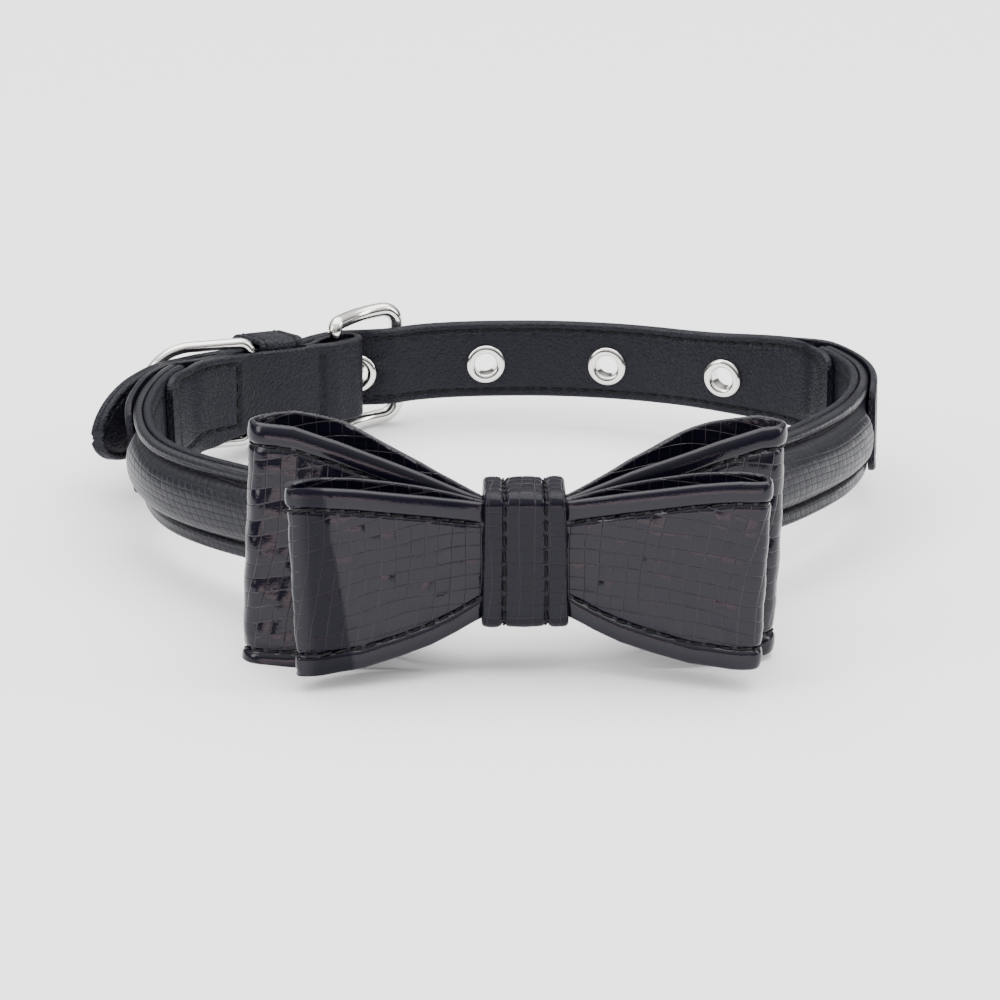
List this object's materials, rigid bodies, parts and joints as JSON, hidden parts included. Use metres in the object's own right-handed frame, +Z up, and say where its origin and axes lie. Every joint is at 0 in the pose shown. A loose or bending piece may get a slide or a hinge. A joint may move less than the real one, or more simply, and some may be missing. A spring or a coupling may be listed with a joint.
{
  "type": "pet bow tie collar",
  "caption": "Small dog collar in black leather with a padded, scale-embossed front, a double bow tie, nickel buckle, D-ring and eyelets, standing on edge as a closed loop.",
  "frame": {"origin": "under the middle of the collar's bounding box, on the surface that it rests on", "axes": "+Z up, -Y towards the bow, +X to the right of someone who faces the bow"},
  "size_m": [0.1578, 0.1542, 0.0448],
  "materials": {
    "smooth_leather": "smooth, semi-matte",
    "patent_leather": "scale-embossed, high gloss",
    "nickel": "polished nickel plate"
  },
  "bodies": {
    "collar": {"panel_lining": "smooth_leather", "panel_cover": "patent_leather", "tongue_strap": "smooth_leather", "buckle_tab": "smooth_leather", "keeper": "smooth_leather", "buckle_frame": "nickel", "buckle_prong": "nickel", "bow_back_loops": "patent_leather", "bow_front_loops": "patent_leather", "bow_knot": "patent_leather", "eyelet_1": "nickel", "eyelet_2": "nickel", "eyelet_3": "nickel", "eyelet_4": "nickel", "eyelet_5": "nickel"},
    "d_ring": {"d_ring": "nickel"}
  },
  "joints": [
    {"name": "d_ring_swing", "type": "hinge", "parent": "collar", "child": "d_ring", "pos_m": [-0.0452, 0.05412, 0.01473], "axis": [0, -0.066, -0.9978], "range_deg": [0, 64]}
  ]
}
